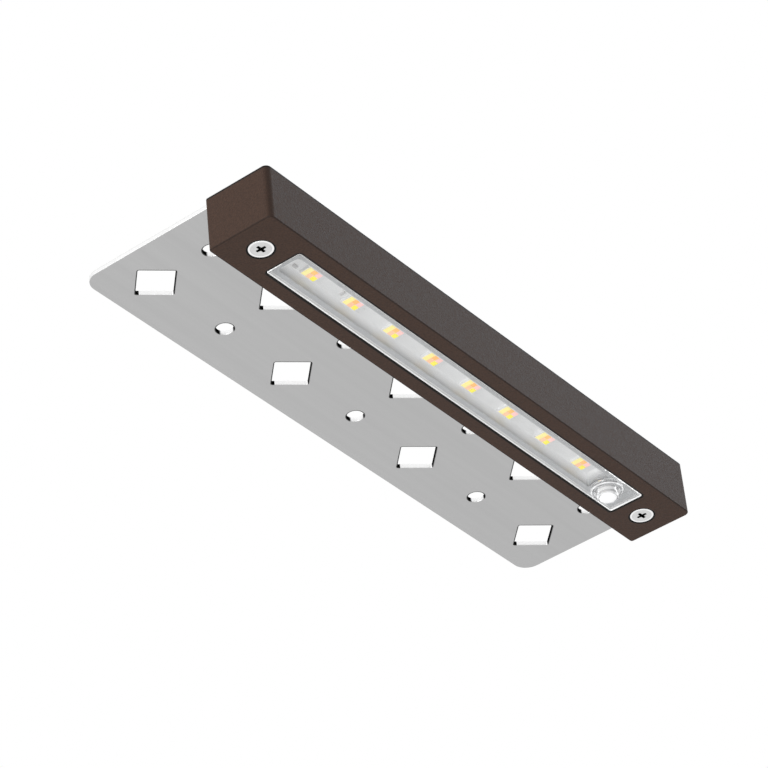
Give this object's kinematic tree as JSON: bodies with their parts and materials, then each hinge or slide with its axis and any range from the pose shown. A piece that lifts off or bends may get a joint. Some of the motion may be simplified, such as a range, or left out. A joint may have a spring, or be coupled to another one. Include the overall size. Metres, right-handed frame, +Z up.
{
  "type": "step light",
  "caption": "Slim bar step light under a perforated mounting plate, with a long clear lens over an LED strip and a push button in its lower face.",
  "frame": {"origin": "centre of the bar's length and depth, on the mounting plate's top face", "axes": "+X along the bar, towards the end with the button; +Y back into the wall; +Z up, out of the plate's top face; the lens looks down, along -Z"},
  "size_m": [0.1895, 0.0623, 0.0202],
  "materials": {
    "bronze_powder_coat": "fine-textured powder coat, matt",
    "plate_steel": "satin sheet",
    "nut_steel": "zinc plated",
    "screw_steel": "satin",
    "clear_lens": "clear moulded",
    "black_sealant": "satin",
    "reflector_plastic": "moulded, light grey",
    "led_board_white": "white solder mask",
    "pad_silicone": "matt",
    "led_package_white": "moulded",
    "phosphor_pale_yellow": "cast silicone",
    "phosphor_orange": "cast silicone",
    "phosphor_peach": "cast silicone",
    "phosphor_pink": "cast silicone",
    "phosphor_bright_yellow": "cast silicone",
    "chip_grey": "moulded",
    "board_green": "solder mask",
    "chip_black": "moulded",
    "ferrite": "matt",
    "can_aluminium": "drawn can",
    "terminal_green": "moulded",
    "pin_brass": "plated",
    "cover_aluminium": "mill",
    "gasket_rubber": "matt",
    "gland_nylon": "moulded",
    "switch_black": "moulded",
    "spring_steel": "stamped",
    "stem_white": "moulded",
    "clear_button": "clear moulded",
    "white_core": "moulded",
    "clear_ring_rubber": "satin silicone"
  },
  "bodies": {
    "fixture": {"housing": "bronze_powder_coat", "mounting_plate": "plate_steel", "clinch_nuts": "nut_steel", "fixing_screws": "screw_steel", "lens": "clear_lens", "lens_seal": "black_sealant", "reflector_frame": "reflector_plastic", "led_board": "led_board_white", "thermal_pad": "pad_silicone", "led_packages": "led_package_white", "led_board_chips": "chip_grey", "tiles_pale_yellow": "phosphor_pale_yellow", "tiles_orange": "phosphor_orange", "tiles_peach": "phosphor_peach", "tiles_pink": "phosphor_pink", "tiles_bright_yellow": "phosphor_bright_yellow", "driver_board": "board_green", "driver_chip": "chip_black", "power_inductor": "ferrite", "capacitors": "can_aluminium", "rectifier": "chip_black", "driver_resistors": "chip_black", "input_terminal": "terminal_green", "link_pins": "pin_brass", "driver_screws": "nut_steel", "top_cover": "cover_aluminium", "cover_gasket": "gasket_rubber", "cover_screws": "nut_steel", "gland_body": "gland_nylon", "gland_seal": "gasket_rubber", "gland_nut": "gland_nylon", "switch_base": "switch_black", "switch_cover": "spring_steel", "switch_dome": "spring_steel", "button_collar": "clear_button"},
    "button": {"button_cap": "clear_button", "button_core": "white_core", "button_seal": "clear_ring_rubber", "switch_stem": "stem_white"}
  },
  "joints": [
    {"name": "button_press", "type": "slide", "parent": "fixture", "child": "button", "axis": [0, 0, 1], "range_m": [0, 0.0005], "stiffness_N_per_m": 800, "springref_m": -0.0005, "deforming": ["switch_dome"]}
  ]
}
